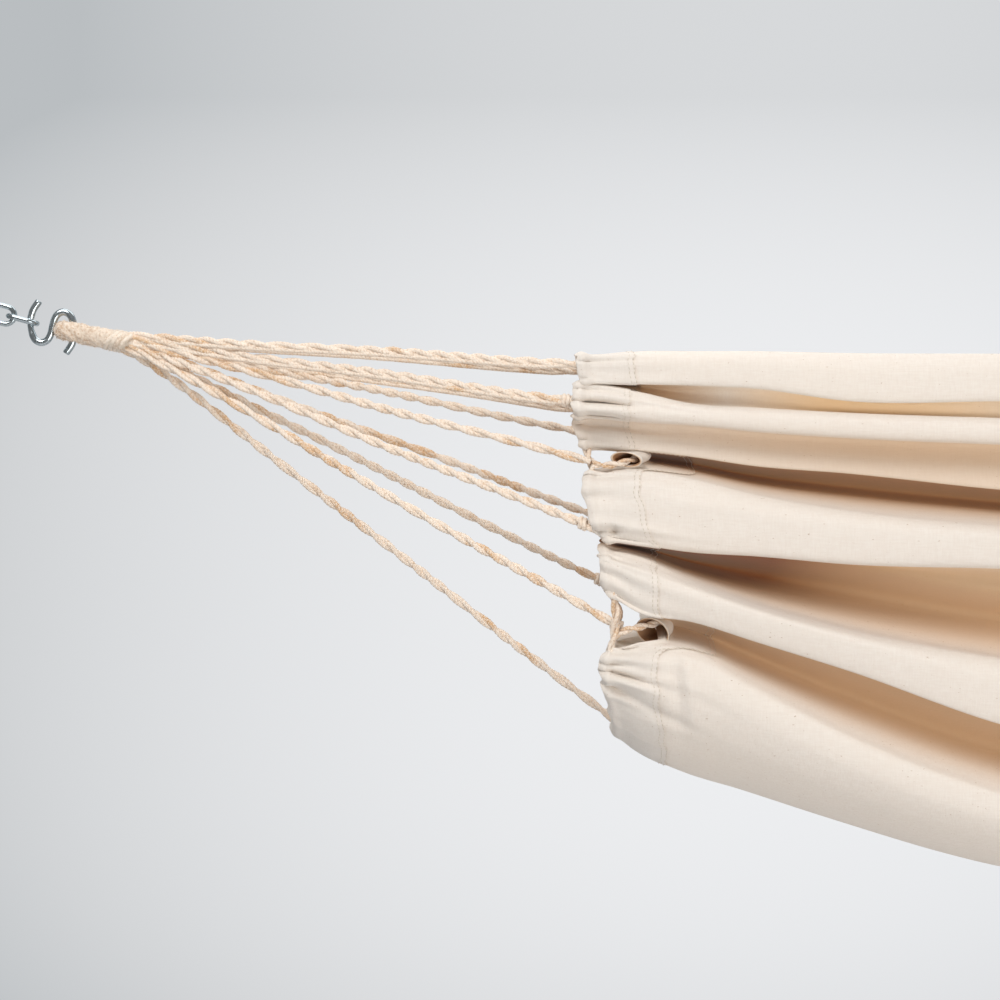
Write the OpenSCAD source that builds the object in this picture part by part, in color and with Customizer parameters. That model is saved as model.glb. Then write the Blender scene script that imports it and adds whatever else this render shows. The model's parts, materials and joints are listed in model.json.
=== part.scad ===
// A fabric hammock hung by two chains from a tubular steel stand.
// X runs along the hammock, Z is up, and the origin is on the floor under the middle.

/* [Stand] */
// Outer diameter of the stand's rail, foot bars and lower arms
tube_d = 50; // [48:1:52]
// Wall thickness of the stand's tubes
tube_wall = 2; // [1.5:0.25:2.5]
// Rise of the arms above the horizontal, in degrees
arm_angle = 62; // [58:1:66]
// Centreline radius of the bend in each lower arm
bend_r = 150; // [130:5:180]
// Length of the middle rail tube
center_rail_l = 1200; // [1100:20:1300]
// Distance from the middle to each foot bar
foot_x = 1250; // [1150:10:1350]
// Straight length of each lower arm above its bend
lower_arm_l = 450; // [350:10:600]
// Length of each foot bar between its caps' outer faces
foot_bar_l = 1200; // [1000:20:1400]

/* [Chain and hooks] */
// Number of links in each chain
link_count = 19; // [15:2:23]
// Wire diameter of the chain
chain_wire_d = 6; // [5:0.5:6]
// Wire diameter of the S-hooks and of the stand's hook bolts
hook_wire_d = 8; // [7:0.5:8]
// Rise of the chains above the horizontal, in degrees
chain_angle = 15; // [10:1:20]
// Distance from the middle to the chain's seat on each S-hook
seat_x = 1725; // [1700:5:1760]
// Height of the chain's seat on each S-hook
seat_z = 1130; // [1100:5:1160]

/* [Hammock] */
// Diameter of the rope in the end loops
eye_rope_d = 16; // [14:1:17]
// Diameter of each harness cord
cord_d = 8; // [6:0.5:8]
// Height of the bed's two long edges
edge_z = 1092; // [1080:2:1100]
// Distance from the middle to the hem's top
hem_x = 1131; // [1120:1:1140]
// Lean of the hem towards the middle, in degrees from the vertical
hem_lean = 6.4; // [5:0.2:8]
// Half-width of the hem
hem_half_w = 120; // [110:2:130]
// Depth of the bed at its ends
end_depth = 425; // [415:5:435]
// Depth of the bed in the middle
mid_depth = 619; // [590:5:640]
// Half-width of the bed in the middle
mid_half_w = 230; // [200:5:260]
// Thickness of the bed's solid
bed_t = 4; // [3:0.5:6]

/* [Hidden] */
$fn = 48;
left = -1;
right = 1;
sides = [left, right];
gap = 0.3;

// Stand: heights and fits
tube_r = tube_d / 2;
tube_fit = 0.15;
spigot_r = tube_r - tube_wall - tube_fit;
swage_l = 6;
rubber_t = 6;
foot_z = 40;
foot_sole_w = 44;
saddle_min = 6;
saddle_size = 70;
rail_z = foot_z + tube_d + saddle_min;
overlap_l = 100;
weld_gap = 0.05;
foot_cap_l = 70;
arm_cap_t = 4;

// Fasteners
bolt_r = 4;
bolt_hole_r = 4.2;
nut_flats = 13;
nut_h = 6.5;
head_h = 5.5;
washer_r = 10;
washer_t = 2;
thread_past_nut = 3;

// Chain links
link_inner_l = 26;
link_outer_w = 25;
link_r = (link_outer_w - chain_wire_d) / 2;
link_straight = link_inner_l / 2 + chain_wire_d / 2 - link_r;
link_pitch = link_inner_l - 0.2;
seat_gap = 0.6;
seat_reach = link_inner_l / 2 - hook_wire_d / 2 - seat_gap;
chain_reach = 2 * seat_reach + (link_count - 1) * link_pitch;

// Points of the left end in the XZ plane, as [x, z]
pull = [cos(chain_angle), -sin(chain_angle)];
seat = [-seat_x, seat_z];
stand_seat = seat - chain_reach * pull;
hook_ring_r = 16;
hook_center = stand_seat - hook_ring_r * pull;
arm_dir = [-cos(arm_angle), sin(arm_angle)];
arm_inward = [sin(arm_angle), cos(arm_angle)];
hook_reach = 70;
hook_foot = hook_center - hook_reach * arm_inward;
arm_corner = [hook_foot.x + (hook_foot.y - rail_z) / tan(arm_angle), rail_z];
bend_tangent = bend_r * tan(arm_angle / 2);
bend_x = arm_corner.x + bend_tangent;
arm_l = norm(hook_foot - arm_corner);
arm_top = arm_l + 60;
lower_arm_top = bend_tangent + lower_arm_l;
arm_overlap_l = 120;
arm_tilt = 180 - arm_angle;
hook_turn = 270 - arm_angle;
hook_sweep = 480 - hook_turn;

// S-hook: its centre and half of its wire's centreline, from the middle to one tip
s_center = seat - [-24.5, 6];
s_half = [[-3.5, -7], [-6.5, -13], [-11.5, -16.5], [-17.6, -13.8], [-22.6, -5], [-24.5, 6], [-21.5, 18.5], [-14.6, 28]];

// End loop, whipping and the stretch where the cords lie together
eye_seat = s_center + [24.5, -6];
eye_r = eye_rope_d / 2;
eye_ring_r = eye_r + hook_wire_d / 2 + gap;
eye_drop = 10.8;
whip_start = 37;
whip_gap = 1;
whip_l = 24;
whip_r = 10.5;
clew_x = -1540;
clew_w = 40;
clew_top = 1110;
clew_low = 1037;
fan_start = eye_seat + (whip_start + whip_l + gap) * [cos(eye_drop), -sin(eye_drop)];

// Each harness cord as [y and z at the clew, y and z at the hem]
cord_ends = [
    [-15, 1103, -hem_half_w, 1075],
    [-15, 1093, -hem_half_w, 1035],
    [-15, 1083, -hem_half_w, 974],
    [-15, 1073, -hem_half_w, 903],
    [-15, 1060, -hem_half_w, 802],
    [0, 1044, 0, 690],
    [15, 1060, hem_half_w, 834],
    [15, 1073, hem_half_w, 912],
    [15, 1083, hem_half_w, 1010],
    [15, 1093, hem_half_w, 1037],
    [15, 1103, hem_half_w, 1083],
];
cord_count = len(cord_ends);

// Hem and gather rope
hem_r = 9;
hem_bore_r = 4.6;
gather_r = 4;
hem_clear = 13;
clew_clear = 3.2;
hem_low_z = 679;
hem_depth = (edge_z - hem_low_z) / cos(hem_lean);
hem_side_l = hem_depth - hem_half_w;

// Bed sections
bed_rings = 24;
bed_steps = 20;
bed_end_x = hem_x - hem_r - 1;

// Everything is drawn for the left end. The right end is its mirror image.
module at_side(side) {
    mirror([side == right ? 1 : 0, 0, 0]) children();
}

// Places children with local X along a direction in the XZ plane
module along(point, angle) {
    translate([point.x, 0, point.y]) rotate([0, -angle, 0]) children();
}

module rod(from, to, r) {
    translate([from, 0, 0]) rotate([0, 90, 0]) cylinder(h = to - from, r = r);
}

module pipe(from, to, r) {
    difference() {
        rod(from, to, r);
        rod(from - 1, to + 1, r - tube_wall);
    }
}

// A hole or shank across a tube that lies along X
module cross_rod(at, r, half_l) {
    translate([at, 0, 0]) rotate([90, 0, 0]) cylinder(h = 2 * half_l, r = r, center = true);
}

module ring_arc(ring_r, wire_r, from, sweep) {
    rotate([90, 0, 0]) rotate([0, 0, from]) rotate_extrude(angle = sweep) translate([ring_r, 0]) circle(r = wire_r);
}

// Sweep of a round section along a smooth curve through the given points of the XY plane
function blend4(a, b, c, d, t) =
    0.5 * (2 * b + t * (c - a) + t * t * (2 * a - 5 * b + 4 * c - d) + t * t * t * (3 * b - a - 3 * c + d));
function smooth(p, steps) = [
    for (i = [0 : len(p) - 2]) for (k = [0 : steps - 1])
        blend4(p[max(i - 1, 0)], p[i], p[i + 1], p[min(i + 2, len(p) - 1)], k / steps),
    p[len(p) - 1]
];
function heading(p, i) = p[min(i + 1, len(p) - 1)] - p[max(i - 1, 0)];
function across(v) = [-v.y, v.x] / norm(v);
function ring_point(c, out, r, a) = [c.x + r * sin(a) * out.x, c.y + r * sin(a) * out.y, r * cos(a)];

module planar_tube(path, r, n) {
    points = [
        for (i = [0 : len(path) - 1]) for (k = [0 : n - 1])
            ring_point(path[i], across(heading(path, i)), r, 360 * k / n)
    ];
    walls = [
        for (i = [0 : len(path) - 2]) for (k = [0 : n - 1])
            [i * n + k, i * n + (k + 1) % n, (i + 1) * n + (k + 1) % n, (i + 1) * n + k]
    ];
    start = [for (k = [n - 1 : -1 : 0]) k];
    end = [for (k = [0 : n - 1]) (len(path) - 1) * n + k];
    polyhedron(points = points, faces = concat(walls, [start, end]), convexity = 6);
}

// ---- Stand ----

// A tube along X whose end past the shoulder is narrowed to slide into the next tube
module swaged_pipe(from, shoulder, tip) {
    difference() {
        union() {
            rod(from, shoulder, tube_r);
            rod(shoulder - 1, tip, spigot_r);
        }
        rod(from - 1, shoulder - swage_l, tube_r - tube_wall);
        rod(from - 1, tip + 1, spigot_r - tube_wall);
    }
}

module base_rail_center() {
    half_l = center_rail_l / 2;
    color("dimgray") translate([0, 0, rail_z]) difference() {
        pipe(-half_l, half_l, tube_r);
        for (side = sides) cross_rod(side * (half_l - overlap_l / 2), bolt_hole_r, tube_d);
    }
}

module base_rail_side(side) {
    inner_end = -center_rail_l / 2;
    color("dimgray") at_side(side) translate([0, 0, rail_z]) difference() {
        swaged_pipe(bend_x + weld_gap, inner_end - tube_fit, inner_end + overlap_l);
        cross_rod(inner_end + overlap_l / 2, bolt_hole_r, tube_d);
        translate([-foot_x, 0, 0]) cylinder(h = 2 * tube_d, r = bolt_hole_r, center = true);
    }
}

module foot_bar(side) {
    half_l = foot_bar_l / 2 - rubber_t;
    color("dimgray") at_side(side) translate([-foot_x, 0, foot_z]) difference() {
        rotate([0, 0, 90]) pipe(-half_l, half_l, tube_r);
        cylinder(h = 2 * tube_d, r = bolt_hole_r, center = true);
    }
}

// A plastic block that seats the rail on the foot bar
module saddle(side) {
    low = foot_z + 12;
    high = rail_z - 12;
    color("black") at_side(side) translate([-foot_x, 0, 0]) difference() {
        translate([-saddle_size / 2, -saddle_size / 2, low]) cube([saddle_size, saddle_size, high - low]);
        translate([0, 0, foot_z]) rotate([0, 0, 90]) rod(-tube_d, tube_d, tube_r + tube_fit);
        translate([0, 0, rail_z]) rod(-tube_d, tube_d, tube_r + tube_fit);
        cylinder(h = 3 * tube_d, r = bolt_hole_r);
    }
}

// Rubber end caps with a flat sole
module foot_caps() {
    outer_end = foot_bar_l / 2;
    color("black") for (side = sides) at_side(side) for (turn = [90, -90])
        translate([-foot_x, 0, foot_z]) rotate([0, 0, turn]) difference() {
            union() {
                rod(outer_end - foot_cap_l, outer_end, tube_r + rubber_t);
                translate([outer_end - foot_cap_l, -foot_sole_w / 2, -foot_z])
                    cube([foot_cap_l, foot_sole_w, foot_z]);
            }
            rod(0, outer_end - rubber_t + tube_fit, tube_r + tube_fit);
        }
}

// The bend that is welded between the rail and the lower arm
module elbow(side) {
    color("dimgray") at_side(side) translate([bend_x, 0, rail_z + bend_r]) rotate([90, 0, 0])
        rotate([0, 0, hook_turn]) rotate_extrude(angle = arm_angle) translate([bend_r, 0]) difference() {
            circle(r = tube_r);
            circle(r = tube_r - tube_wall);
        }
}

module lower_arm(side) {
    color("dimgray") at_side(side) along(arm_corner, arm_tilt) difference() {
        pipe(bend_tangent + weld_gap, lower_arm_top, tube_r);
        cross_rod(lower_arm_top - arm_overlap_l / 2, bolt_hole_r, tube_d);
    }
}

module upper_arm(side) {
    color("dimgray") at_side(side) along(arm_corner, arm_tilt) difference() {
        rod(lower_arm_top - arm_overlap_l, arm_top, spigot_r);
        rod(lower_arm_top - arm_overlap_l - 1, arm_top + 1, spigot_r - tube_wall);
        cross_rod(lower_arm_top - arm_overlap_l / 2, bolt_hole_r, tube_d);
        translate([arm_l, 0, 0]) cylinder(h = 2 * tube_d, r = bolt_hole_r, center = true);
    }
}

module arm_caps() {
    color("black") for (side = sides) at_side(side) along(arm_corner, arm_tilt) {
        rod(arm_top - 18, arm_top + 1, spigot_r - tube_wall - tube_fit);
        rod(arm_top + tube_fit, arm_top + arm_cap_t, spigot_r);
    }
}

// ---- Fasteners ----

// Places children where two tubes are bolted, with the tube along X and the bolt along Z
module at_tube_joints() {
    for (side = sides) at_side(side) {
        translate([-center_rail_l / 2 + overlap_l / 2, 0, rail_z]) rotate([-90, 0, 0]) children();
        along(arm_corner, arm_tilt) translate([lower_arm_top - arm_overlap_l / 2, 0, 0])
            rotate([-90, 0, 0]) children();
    }
}

module at_feet(z) {
    for (side = sides) translate([side * foot_x, 0, z]) children();
}

// Places children at each hook bolt's hole in the arm, with the tube along X and the bolt along Z
module at_hook_holes() {
    for (side = sides) at_side(side) along(arm_corner, arm_tilt) translate([arm_l, 0, 0]) children();
}

module hex(flats, h) {
    cylinder(h = h, r = flats / sqrt(3), $fn = 6);
}

module nut() {
    difference() {
        hex(nut_flats, nut_h);
        translate([0, 0, -1]) cylinder(h = nut_h + 2, r = bolt_r + 0.05);
    }
}

// A washer on +Z of a tube that lies along X, its underside shaped to the tube
module shaped_washer(r) {
    difference() {
        translate([0, 0, r - 3]) cylinder(h = 3 + washer_t, r = washer_r);
        rod(-2 * washer_r, 2 * washer_r, r + 0.05);
        cylinder(h = 2 * r, r = bolt_hole_r);
    }
}

// A bolt along +Z with the underside of its head at z = 0
module bolt(grip) {
    translate([0, 0, -head_h]) hex(nut_flats, head_h);
    translate([0, 0, -1]) cylinder(h = grip + nut_h + thread_past_nut + 1, r = bolt_r);
}

module frame_bolts() {
    half_grip = tube_r + washer_t;
    color("silver") at_tube_joints() translate([0, 0, -half_grip]) bolt(2 * half_grip);
}

module foot_bolts() {
    top = rail_z + tube_r + washer_t;
    bottom = foot_z - tube_r - washer_t;
    color("silver") at_feet(top) rotate([180, 0, 0]) bolt(top - bottom);
}

module frame_nuts() {
    color("silver") {
        at_tube_joints() translate([0, 0, tube_r + washer_t]) nut();
        at_feet(foot_z - tube_r - washer_t - nut_h) nut();
    }
}

module frame_washers() {
    color("silver") {
        at_tube_joints() {
            shaped_washer(tube_r);
            rotate([180, 0, 0]) shaped_washer(tube_r);
        }
        at_feet(rail_z) shaped_washer(tube_r);
        at_feet(foot_z) rotate([180, 0, 90]) shaped_washer(tube_r);
    }
}

module hook_bolt(side) {
    thread_end = hook_reach + spigot_r + washer_t + nut_h + thread_past_nut;
    color("silver") at_side(side) {
        translate([hook_center.x, 0, hook_center.y])
            ring_arc(hook_ring_r, hook_wire_d / 2, hook_turn, hook_sweep);
        along(hook_center, hook_turn) rod(hook_ring_r - 2, thread_end, bolt_r);
    }
}

module hook_nuts() {
    color("silver") at_hook_holes() {
        translate([0, 0, spigot_r + washer_t]) nut();
        translate([0, 0, -spigot_r - washer_t - nut_h]) nut();
    }
}

module hook_washers() {
    color("silver") at_hook_holes() {
        shaped_washer(spigot_r);
        rotate([180, 0, 0]) shaped_washer(spigot_r);
    }
}

// ---- Chain and S-hook ----

module link() {
    wire_r = chain_wire_d / 2;
    for (turn = [0, 180]) rotate([0, 0, turn]) {
        translate([link_straight, 0, 0]) rotate([0, 0, -90])
            rotate_extrude(angle = 180) translate([link_r, 0]) circle(r = wire_r);
        translate([0, link_r, 0]) rod(-link_straight, link_straight, wire_r);
    }
}

module chain(side) {
    color("silver") at_side(side) along(stand_seat, -chain_angle) for (i = [0 : link_count - 1])
        translate([seat_reach + i * link_pitch, 0, 0]) rotate([90 * (i % 2), 0, 0]) link();
}

module s_hook(side) {
    tip_to_middle = [for (i = [len(s_half) - 1 : -1 : 0]) s_half[i]];
    middle_to_tip = [for (p = s_half) -p];
    path = smooth(concat(tip_to_middle, [[0, 0]], middle_to_tip), 3);
    color("lightsteelblue") at_side(side) translate([s_center.x, 0, s_center.y])
        rotate([90, 0, 0]) planar_tube(path, hook_wire_d / 2, 16);
}

// ---- Harness ----

// The served loop that the S-hook holds
module eye(side) {
    leg_y = eye_r + 0.3;
    near_leg = [[whip_start, -leg_y], [whip_start * 0.6, -eye_ring_r * 0.83], [10, -eye_ring_r * 0.96]];
    ring = [for (a = [-90 : -22.5 : -270]) eye_ring_r * [cos(a), sin(a)]];
    far_leg = [for (i = [2 : -1 : 0]) [near_leg[i].x, -near_leg[i].y]];
    color("ivory") at_side(side) along(eye_seat, -eye_drop)
        planar_tube(smooth(concat(near_leg, ring, far_leg), 2), eye_r, 16);
}

module whipping(side) {
    half_w = eye_r + 0.3;
    color("ivory") at_side(side) along(eye_seat, -eye_drop) translate([whip_start + whip_gap, 0, 0]) {
        for (y = [-half_w, half_w]) translate([0, y, 0]) rod(0, whip_l - whip_gap, whip_r);
        translate([0, -half_w, -whip_r]) cube([whip_l - whip_gap, 2 * half_w, 2 * whip_r]);
    }
}

// The stretch behind the whipping in which the cords lie against each other
module clew(side) {
    half_h = (whip_r - 1) * [sin(eye_drop), cos(eye_drop)];
    color("ivory") at_side(side) rotate([90, 0, 0]) linear_extrude(clew_w, center = true) polygon([
        fan_start + half_h,
        fan_start - half_h,
        [clew_x - gap, clew_low],
        [clew_x - gap, clew_top]
    ]);
}

function hem_line_x(z) = -hem_x + (edge_z - z) * tan(hem_lean);

module cord(side, i) {
    end = cord_ends[i - 1];
    from = [clew_x, end[0], end[1]];
    hem_point = [hem_line_x(end[3]), end[2], end[3]];
    way = hem_point - from;
    color("wheat") at_side(side) translate(from) rotate([0, acos(way.z / norm(way)), atan2(way.y, way.x)])
        translate([0, 0, clew_clear]) cylinder(h = norm(way) - hem_clear - clew_clear, r = cord_d / 2);
}

// ---- Bed ----

// A tube of radius r along the hem's U
module u_tube(r, past) {
    translate([-hem_x, 0, edge_z]) rotate([0, -hem_lean, 0]) {
        for (y = [-hem_half_w, hem_half_w])
            translate([0, y, -hem_side_l]) cylinder(h = hem_side_l + past, r = r);
        translate([0, 0, -hem_side_l]) rotate([90, 0, 90]) rotate([0, 0, 180])
            rotate_extrude(angle = 180) translate([hem_half_w, 0]) circle(r = r);
    }
}

module hem(side) {
    color("linen") at_side(side) difference() {
        u_tube(hem_r, 0);
        u_tube(hem_bore_r, 1);
    }
}

module gather_rope(side) {
    color("wheat") at_side(side) u_tube(gather_r, 0);
}

function bed_half_w(s) = hem_half_w - 1 + (mid_half_w - hem_half_w + 1) * (1 - pow(s, 4));
function bed_depth(s) = mid_depth - (mid_depth - end_depth) * s * s;
function bed_lean(s) = sign(s) * pow(abs(s), 5) * tan(hem_lean);
function bed_point(s, a, inset) =
    let (drop = (bed_depth(s) - inset) * cos(a))
    [s * bed_end_x - bed_lean(s) * drop, (bed_half_w(s) - inset) * sin(a), edge_z - drop];

module bed() {
    n = bed_steps + 1;
    ring_n = 2 * n;
    points = [
        for (i = [0 : bed_rings]) let (s = 2 * i / bed_rings - 1) each concat(
            [for (k = [0 : bed_steps]) bed_point(s, -90 + 180 * k / bed_steps, 0)],
            [for (k = [bed_steps : -1 : 0]) bed_point(s, -90 + 180 * k / bed_steps, bed_t)]
        )
    ];
    walls = [
        for (i = [0 : bed_rings - 1]) for (k = [0 : ring_n - 1])
            [i * ring_n + k, i * ring_n + (k + 1) % ring_n, (i + 1) * ring_n + (k + 1) % ring_n, (i + 1) * ring_n + k]
    ];
    last = bed_rings * ring_n;
    start = [for (k = [0 : bed_steps - 1]) [ring_n - 1 - k, ring_n - 2 - k, k + 1, k]];
    end = [for (k = [0 : bed_steps - 1]) [last + k, last + k + 1, last + ring_n - 2 - k, last + ring_n - 1 - k]];
    color("linen") polyhedron(points = points, faces = concat(walls, start, end), convexity = 8);
}

base_rail_center();
base_rail_side(left);  // base_rail_left
base_rail_side(right);  // base_rail_right
foot_bar(left);  // left_foot_bar
foot_bar(right);  // right_foot_bar
saddle(left);  // left_saddle
saddle(right);  // right_saddle
foot_caps();
elbow(left);  // left_elbow
elbow(right);  // right_elbow
lower_arm(left);  // left_lower_arm
lower_arm(right);  // right_lower_arm
upper_arm(left);  // left_upper_arm
upper_arm(right);  // right_upper_arm
arm_caps();
frame_bolts();
foot_bolts();
frame_nuts();
frame_washers();
hook_bolt(left);  // left_hook_bolt
hook_bolt(right);  // right_hook_bolt
hook_nuts();
hook_washers();
chain(left);  // left_chain
chain(right);  // right_chain
s_hook(left);  // left_s_hook
s_hook(right);  // right_s_hook
eye(left);  // left_eye
eye(right);  // right_eye
whipping(left);  // left_whipping
whipping(right);  // right_whipping
clew(left);  // left_clew
clew(right);  // right_clew
for (i = [1 : cord_count]) cord(left, i);
for (i = [1 : cord_count]) cord(right, i);
gather_rope(left);  // left_gather_rope
gather_rope(right);  // right_gather_rope
hem(left);  // left_hem
hem(right);  // right_hem
bed();
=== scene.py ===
"""A fabric hammock hung by two chains from a tubular steel stand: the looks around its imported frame."""

import json
import math

import bpy
import numpy as np
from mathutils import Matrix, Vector


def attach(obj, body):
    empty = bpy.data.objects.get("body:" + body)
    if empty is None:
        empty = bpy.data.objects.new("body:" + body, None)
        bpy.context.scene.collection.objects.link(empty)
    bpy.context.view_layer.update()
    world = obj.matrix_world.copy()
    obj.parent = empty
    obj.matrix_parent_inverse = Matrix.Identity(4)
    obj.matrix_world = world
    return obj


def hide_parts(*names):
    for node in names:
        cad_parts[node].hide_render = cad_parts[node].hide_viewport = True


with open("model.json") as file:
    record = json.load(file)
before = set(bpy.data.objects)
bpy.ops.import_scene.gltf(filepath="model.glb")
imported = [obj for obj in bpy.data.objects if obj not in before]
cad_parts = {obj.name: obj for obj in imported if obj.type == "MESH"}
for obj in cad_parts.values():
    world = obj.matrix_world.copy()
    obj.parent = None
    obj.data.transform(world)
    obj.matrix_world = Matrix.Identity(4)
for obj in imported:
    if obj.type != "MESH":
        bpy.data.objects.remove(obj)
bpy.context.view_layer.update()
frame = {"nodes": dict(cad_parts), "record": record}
nodes = frame["nodes"]
rng = np.random.default_rng(7)
MM = 0.001

# ---- Camera ----

camera_data = bpy.data.cameras.new("camera")
camera_data.lens = 72
camera_data.sensor_width = 36
camera_data.clip_end = 60
camera = bpy.data.objects.new("camera", camera_data)
bpy.context.scene.collection.objects.link(camera)
camera.location = (-1.2083, -2.2, 0.934)
camera.rotation_euler = (math.pi / 2, 0, 0)
bpy.context.scene.camera = camera
bpy.context.scene.view_settings.view_transform = "Standard"


# ---- Materials ----

# Keeps the lattice planes of the noise away from the object's own middle planes
NOISE_SHIFT = (3.37, 5.53, 2.71)


def linear(r, g, b):
    """An sRGB colour of 0 to 255 as linear RGBA."""
    out = []
    for v in (r, g, b):
        v /= 255
        out.append(v / 12.92 if v <= 0.04045 else ((v + 0.055) / 1.055) ** 2.4)
    return (*out, 1.0)


def feed(tree, socket, value):
    """Links an output to a socket, or sets the socket's own value."""
    if isinstance(value, bpy.types.NodeSocket):
        tree.links.new(value, socket)
    else:
        socket.default_value = value


class Nodes:
    """A material's node tree, with short names for what is added to it."""

    def __init__(self, name):
        self.material = bpy.data.materials.new(name)
        self.material.use_nodes = True
        self.tree = self.material.node_tree
        self.shader = self.tree.nodes["Principled BSDF"]
        self.output = self.tree.nodes["Material Output"]

    def add(self, kind, values=None, **settings):
        n = self.tree.nodes.new(kind)
        for key, value in settings.items():
            setattr(n, key, value)
        for key, value in (values or {}).items():
            feed(self.tree, n.inputs[key], value)
        return n

    def place(self, scale=(1, 1, 1)):
        coord = self.add("ShaderNodeTexCoord")
        return self.add(
            "ShaderNodeMapping",
            {"Vector": coord.outputs["Object"], "Scale": scale, "Location": NOISE_SHIFT},
        ).outputs["Vector"]

    def noise(self, scale, detail=3, roughness=0.5, stretch=(1, 1, 1)):
        return self.add(
            "ShaderNodeTexNoise",
            {
                "Vector": self.place(stretch),
                "Scale": scale,
                "Detail": detail,
                "Roughness": roughness,
            },
        ).outputs["Fac"]

    def span(self, value, low, high, to_low=0.0, to_high=1.0):
        return self.add(
            "ShaderNodeMapRange",
            {
                "Value": value,
                "From Min": low,
                "From Max": high,
                "To Min": to_low,
                "To Max": to_high,
            },
        ).outputs["Result"]

    def mix(self, factor, a, b, blend="MIX"):
        n = self.add(
            "ShaderNodeMix", {"Factor": factor}, data_type="RGBA", blend_type=blend
        )
        for socket, value in ((n.inputs[6], a), (n.inputs[7], b)):
            feed(self.tree, socket, value)
        return n.outputs[2]

    def math(self, how, a, b=0.0):
        n = self.add("ShaderNodeMath", operation=how)
        for socket, value in ((n.inputs[0], a), (n.inputs[1], b)):
            feed(self.tree, socket, value)
        return n.outputs[0]

    def attribute(self, name):
        return self.add("ShaderNodeAttribute", attribute_name=name).outputs["Fac"]

    def set(self, **values):
        for key, value in values.items():
            feed(self.tree, self.shader.inputs[key.replace("_", " ")], value)

    def bump(self, height, strength, distance):
        n = self.add(
            "ShaderNodeBump",
            {"Height": height, "Strength": strength, "Distance": distance},
        )
        self.tree.links.new(n.outputs["Normal"], self.shader.inputs["Normal"])
        return n.outputs["Normal"]

    def see_through(self, colour, share, normal=None):
        """Light from behind the cloth shows through it."""
        values = {"Color": colour}
        if normal is not None:
            values["Normal"] = normal
        behind = self.add("ShaderNodeBsdfTranslucent", values)
        both = self.add("ShaderNodeMixShader", {"Fac": share})
        self.tree.links.new(self.shader.outputs[0], both.inputs[1])
        self.tree.links.new(behind.outputs[0], both.inputs[2])
        self.tree.links.new(both.outputs[0], self.output.inputs["Surface"])


def canvas_material():
    m = Nodes("canvas")
    threads = m.math(
        "ADD",
        m.noise(260, 2, 0.6, (0.25, 1, 2.2)),
        m.noise(260, 2, 0.6, (2.2, 1, 0.25)),
    )
    slub = m.span(threads, 0.8, 1.25)
    clouds = m.span(m.noise(9, 3), 0.3, 0.7)
    base = m.mix(slub, linear(234, 225, 215), linear(239, 232, 223))
    base = m.mix(
        m.math("MULTIPLY", clouds, 0.35), base, linear(235, 226, 215)
    )
    flecks = m.span(m.noise(330, 1, 0.5, (0.8, 1, 1.6)), 0.74, 0.80)
    base = m.mix(m.math("MULTIPLY", flecks, 0.55), base, linear(164, 128, 92))
    # Painted shade from the deep attribute: warm brown in the grooves and under the folds, dark brown where
    # it is deepest, and a painted glow in pale orange where it is below 0
    painted_light_colour = m.mix(m.attribute("deep"), base, linear(208, 166, 116))
    painted_light_colour = m.mix(m.math("MULTIPLY", m.attribute("deep"), -1.0), painted_light_colour, linear(250, 208, 146))
    painted_light_colour = m.mix(m.span(m.attribute("deep"), 0.78, 1.0), painted_light_colour, linear(128, 70, 38))
    m.set(Base_Color=painted_light_colour, Roughness=0.88, Specular_IOR_Level=0.18)
    m.set(Sheen_Weight=0.15, Sheen_Roughness=0.6)
    height = m.math("ADD", threads, m.math("MULTIPLY", m.noise(34, 3), 1.4))
    normal = m.bump(height, 0.28, 0.0009)
    m.see_through(linear(246, 206, 150), 0.10, normal)
    return m.material


def rope_material(name, light, tan, lay=430):
    m = Nodes(name)
    fibres = m.span(m.noise(520, 2, 0.6, (0.3, 1, 1)), 0.3, 0.7)
    base = m.mix(fibres, light, tuple(min(1, v * 1.12) for v in light[:3]) + (1,))
    patches = m.span(m.noise(95, 2, 0.6), 0.56, 0.70)
    speckle = m.span(m.noise(460, 2, 0.7), 0.38, 0.6, 0.2, 1.0)
    # The attribute holds tan yarn and painted shade between the yarns; both take the tan colour
    share = m.math("MAXIMUM", m.attribute("tan"), m.math("MULTIPLY", patches, 0.4))
    share = m.math("MULTIPLY", share, speckle)
    base = m.mix(share, base, tan)
    flecks = m.span(m.noise(420, 2, 0.6), 0.54, 0.66)
    base = m.mix(m.math("MULTIPLY", flecks, 0.42), base, linear(176, 134, 94))
    m.set(Base_Color=base, Roughness=0.92, Specular_IOR_Level=0.1)
    m.set(Sheen_Weight=0.35, Sheen_Roughness=0.5)
    normal = m.bump(m.noise(lay, 2, 0.5, (0.7, 1, 1)), 0.3, 0.0005)
    m.see_through(linear(246, 216, 176), 0.14, normal)
    return m.material


def zinc_material():
    m = Nodes("zinc")
    spangle = m.noise(170, 3)
    colour = m.mix(
        m.span(spangle, 0.35, 0.65), linear(166, 176, 180), linear(192, 201, 205)
    )
    m.set(Base_Color=colour, Metallic=1.0)
    m.set(Roughness=m.span(m.noise(420, 3), 0.3, 0.7, 0.16, 0.24))
    m.bump(m.noise(300, 2), 0.05, 0.0004)
    return m.material


def paint_material():
    m = Nodes("stand_paint")
    worn = m.span(m.noise(26, 4), 0.35, 0.7)
    m.set(
        Base_Color=m.mix(worn, linear(52, 54, 57), linear(61, 63, 66)),
        Roughness=m.span(m.noise(60, 3), 0.3, 0.7, 0.42, 0.54),
        Specular_IOR_Level=0.45,
    )
    m.bump(m.noise(1500, 2), 0.25, 0.0003)
    return m.material


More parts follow.
